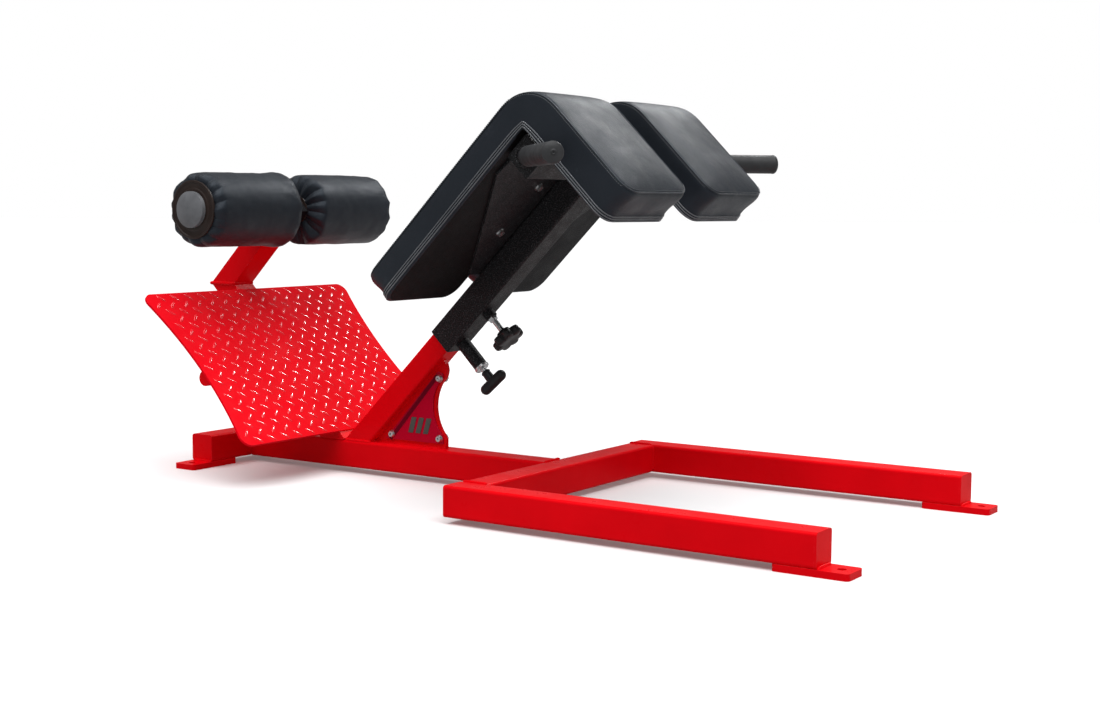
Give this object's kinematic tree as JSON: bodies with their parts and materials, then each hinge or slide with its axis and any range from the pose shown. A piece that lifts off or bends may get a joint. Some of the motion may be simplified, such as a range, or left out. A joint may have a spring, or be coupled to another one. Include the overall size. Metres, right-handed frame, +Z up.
{
  "type": "back extension bench",
  "caption": "Inclined hip and back extension bench: red box-section base with tread foot plate, ankle rollers, and a sliding pad carriage with handles.",
  "frame": {"origin": "on the floor under the centre of the bounding box", "axes": "+X towards the open end of the U-shaped base, +Y towards the user's left, +Z up"},
  "size_m": [1.731, 0.8818, 0.7941],
  "materials": {
    "red_powder_coat": "gloss red powder coat",
    "red_tread_plate": "gloss red powder coat over raised tread",
    "badge_enamel": "dark magenta enamel",
    "black_texture_coat": "wrinkle black powder coat",
    "zinc": "bright zinc plate",
    "spring_steel": "plain spring steel",
    "grip_rubber": "smooth satin rubber",
    "black_vinyl": "soft sheen black vinyl",
    "plywood": "raw plywood",
    "roller_foam": "closed-cell foam",
    "black_plastic": "fine matte moulding",
    "brown_disc_plastic": "satin moulding",
    "grey_plastic": "satin moulding",
    "brass_pad": "plain turned brass"
  },
  "bodies": {
    "frame": {"badge_nuts": "zinc", "badge_plate": "badge_enamel", "badge_screws": "zinc", "foot_plate": "red_tread_plate", "foot_plate_brace_left": "red_powder_coat", "foot_plate_brace_right": "red_powder_coat", "foot_plate_post": "red_powder_coat", "front_cross_tube": "red_powder_coat", "gusset_plate": "red_powder_coat", "left_axle_cap": "grey_plastic", "left_front_foot": "red_powder_coat", "left_rail": "red_powder_coat", "left_rear_foot": "red_powder_coat", "rail_end_plates": "red_powder_coat", "rear_cross_tube": "red_powder_coat", "rear_tube_end_plates": "red_powder_coat", "right_axle_cap": "grey_plastic", "right_front_foot": "red_powder_coat", "right_rail": "red_powder_coat", "right_rear_foot": "red_powder_coat", "roller_axle": "zinc", "roller_post": "red_powder_coat", "roller_post_cap": "red_powder_coat", "spine_tube": "red_powder_coat", "thrust_washers": "black_plastic", "upright_top_plug": "black_plastic", "upright_tube": "red_powder_coat"},
    "carriage": {"handle_cross_tube": "black_texture_coat", "handle_end_plates": "black_texture_coat", "hip_flange": "black_texture_coat", "left_handle": "black_texture_coat", "left_handle_grip": "grip_rubber", "left_pad": "black_vinyl", "left_pad_boards": "plywood", "lock_boss": "black_texture_coat", "pad_bolt_washers": "zinc", "pad_bolts": "zinc", "pin_barrel": "black_texture_coat", "pin_barrel_ring": "zinc", "pin_spring": "spring_steel", "right_handle": "black_texture_coat", "right_handle_grip": "grip_rubber", "right_pad": "black_vinyl", "right_pad_boards": "plywood", "sleeve_liners": "black_plastic", "sleeve_tube": "black_texture_coat", "thigh_flange": "black_texture_coat"},
    "index_pin": {"pull_pin": "zinc", "pin_t_handle": "black_plastic"},
    "lock_pad": {"lock_pressure_pad": "brass_pad"},
    "lock_knob": {"lock_screw": "zinc", "star_knob": "black_plastic"},
    "left_roller": {"left_roller_core": "black_plastic", "left_roller_foam": "roller_foam", "left_roller_cover": "black_vinyl", "left_roller_discs": "brown_disc_plastic"},
    "right_roller": {"right_roller_core": "black_plastic", "right_roller_foam": "roller_foam", "right_roller_cover": "black_vinyl", "right_roller_discs": "brown_disc_plastic"}
  },
  "joints": [
    {"name": "carriage_slide", "type": "slide", "parent": "frame", "child": "carriage", "axis": [0.7071, 0, 0.7071], "range_m": [0, 0.2]},
    {"name": "index_pin_travel", "type": "slide", "parent": "carriage", "child": "index_pin", "axis": [-0.7071, 0, 0.7071], "range_m": [0, 0.008]},
    {"name": "lock_screw_travel", "type": "slide", "parent": "carriage", "child": "lock_pad", "axis": [0.7071, 0, -0.7071], "range_m": [0, 0.0045]},
    {"name": "lock_knob_turn", "type": "hinge", "parent": "lock_pad", "child": "lock_knob", "pos_m": [-0.07512, 0, 0.34473], "axis": [0.7071, 0, -0.7071], "range_deg": [0, 1080]},
    {"name": "left_roller_spin", "type": "hinge", "parent": "frame", "child": "left_roller", "pos_m": [-0.6598, 0.1535, 0.57572], "axis": [0, 1, 0], "continuous": true},
    {"name": "right_roller_spin", "type": "hinge", "parent": "frame", "child": "right_roller", "pos_m": [-0.6598, -0.1535, 0.57572], "axis": [0, 1, 0], "continuous": true}
  ],
  "couplings": [
    {"joint": "lock_screw_travel", "follows": "lock_knob_turn", "m_per_rad": 0.00023873}
  ]
}
